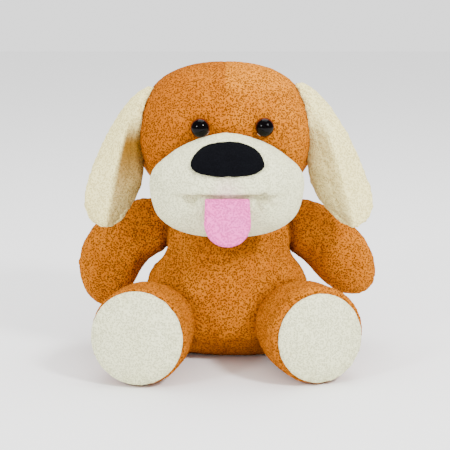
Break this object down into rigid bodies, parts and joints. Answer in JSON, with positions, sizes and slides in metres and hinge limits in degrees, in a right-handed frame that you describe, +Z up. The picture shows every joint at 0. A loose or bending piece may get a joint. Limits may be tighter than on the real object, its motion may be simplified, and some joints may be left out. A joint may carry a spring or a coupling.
{
  "type": "plush dog",
  "caption": "Sitting plush dog with floppy ears, a padded muzzle, a felt nose, plastic eyes and a hanging tongue, sewn from plush panels over fibre filling.",
  "frame": {"origin": "middle of the flat seat the dog sits on, at the height of the surface below it", "axes": "+Z up, the dog faces -Y, +X is on the dog's own left, which is at the right of someone facing it"},
  "size_m": [0.2686, 0.2147, 0.2566],
  "materials": {
    "orange_plush": "short granular pile, caramel orange",
    "cream_plush": "short brushed pile, pale cream",
    "cream_ear_plush": "short smooth pile, warm cream",
    "pink_plush": "short fluffy pile, pink",
    "black_felt": "flat matt felt, near black",
    "eye_plastic": "polished, very dark brown",
    "washer_plastic": "plain white",
    "fibre_filling": "loose white polyester fibre"
  },
  "bodies": {
    "torso": {"torso_front_cover": "orange_plush", "torso_back_cover": "orange_plush", "torso_filling": "fibre_filling"},
    "neck": {"neck_filling": "fibre_filling"},
    "head": {"head_right_cover": "orange_plush", "head_left_cover": "orange_plush", "head_filling": "fibre_filling", "muzzle_upper_cover": "cream_plush", "muzzle_lower_cover": "cream_plush", "nose_patch": "black_felt", "eye_right": "eye_plastic", "eye_left": "eye_plastic", "eye_washer_right": "washer_plastic", "eye_washer_left": "washer_plastic"},
    "tongue": {"tongue_front": "pink_plush", "tongue_back": "pink_plush"},
    "ear_right": {"ear_right_outer": "cream_ear_plush", "ear_right_inner": "cream_ear_plush", "ear_right_wadding": "fibre_filling"},
    "ear_left": {"ear_left_outer": "cream_ear_plush", "ear_left_inner": "cream_ear_plush", "ear_left_wadding": "fibre_filling"},
    "arm_right": {"arm_right_front_cover": "orange_plush", "arm_right_back_cover": "orange_plush", "arm_right_filling": "fibre_filling"},
    "arm_left": {"arm_left_front_cover": "orange_plush", "arm_left_back_cover": "orange_plush", "arm_left_filling": "fibre_filling"},
    "leg_right": {"leg_right_cover": "orange_plush", "sole_right": "cream_plush", "leg_right_filling": "fibre_filling"},
    "leg_left": {"leg_left_cover": "orange_plush", "sole_left": "cream_plush", "leg_left_filling": "fibre_filling"},
    "tail": {"tail_right_cover": "orange_plush", "tail_left_cover": "orange_plush", "tail_filling": "fibre_filling"}
  },
  "joints": [
    {"name": "neck_turn", "type": "hinge", "parent": "torso", "child": "neck", "pos_m": [0, 0, 0.123], "axis": [0, 0, 1], "range_deg": [-8, 8], "stiffness_Nm_per_rad": 0.8},
    {"name": "head_nod", "type": "hinge", "parent": "neck", "child": "head", "pos_m": [0, 0, 0.123], "axis": [1, 0, 0], "range_deg": [-8, 10], "stiffness_Nm_per_rad": 2.5},
    {"name": "tongue_swing", "type": "hinge", "parent": "head", "child": "tongue", "pos_m": [-0.002, -0.1085, 0.1545], "axis": [-1, 0, 0], "range_deg": [0, 40], "stiffness_Nm_per_rad": 0.003},
    {"name": "ear_right_lift", "type": "hinge", "parent": "head", "child": "ear_right", "pos_m": [-0.0645, -0.006, 0.235], "axis": [0, 1, 0], "range_deg": [0, 45], "stiffness_Nm_per_rad": 0.05},
    {"name": "ear_left_lift", "type": "hinge", "parent": "head", "child": "ear_left", "pos_m": [0.0575, -0.006, 0.238], "axis": [0, -1, 0], "range_deg": [0, 45], "stiffness_Nm_per_rad": 0.05},
    {"name": "arm_right_raise", "type": "hinge", "parent": "torso", "child": "arm_right", "pos_m": [-0.05, 0.016, 0.105], "axis": [0, 1, 0], "range_deg": [0, 22], "stiffness_Nm_per_rad": 0.4},
    {"name": "arm_left_raise", "type": "hinge", "parent": "torso", "child": "arm_left", "pos_m": [0.05, 0.016, 0.106], "axis": [0, -1, 0], "range_deg": [0, 22], "stiffness_Nm_per_rad": 0.4},
    {"name": "leg_right_raise", "type": "hinge", "parent": "torso", "child": "leg_right", "pos_m": [-0.062, -0.044, 0.0345], "axis": [-1, 0, 0], "range_deg": [0, 20], "stiffness_Nm_per_rad": 0.6},
    {"name": "leg_left_raise", "type": "hinge", "parent": "torso", "child": "leg_left", "pos_m": [0.052, -0.044, 0.0345], "axis": [-1, 0, 0], "range_deg": [0, 20], "stiffness_Nm_per_rad": 0.6},
    {"name": "tail_wag", "type": "hinge", "parent": "torso", "child": "tail", "pos_m": [0, 0.057, 0.034], "axis": [0, 0, 1], "range_deg": [-15, 15], "stiffness_Nm_per_rad": 0.01}
  ]
}
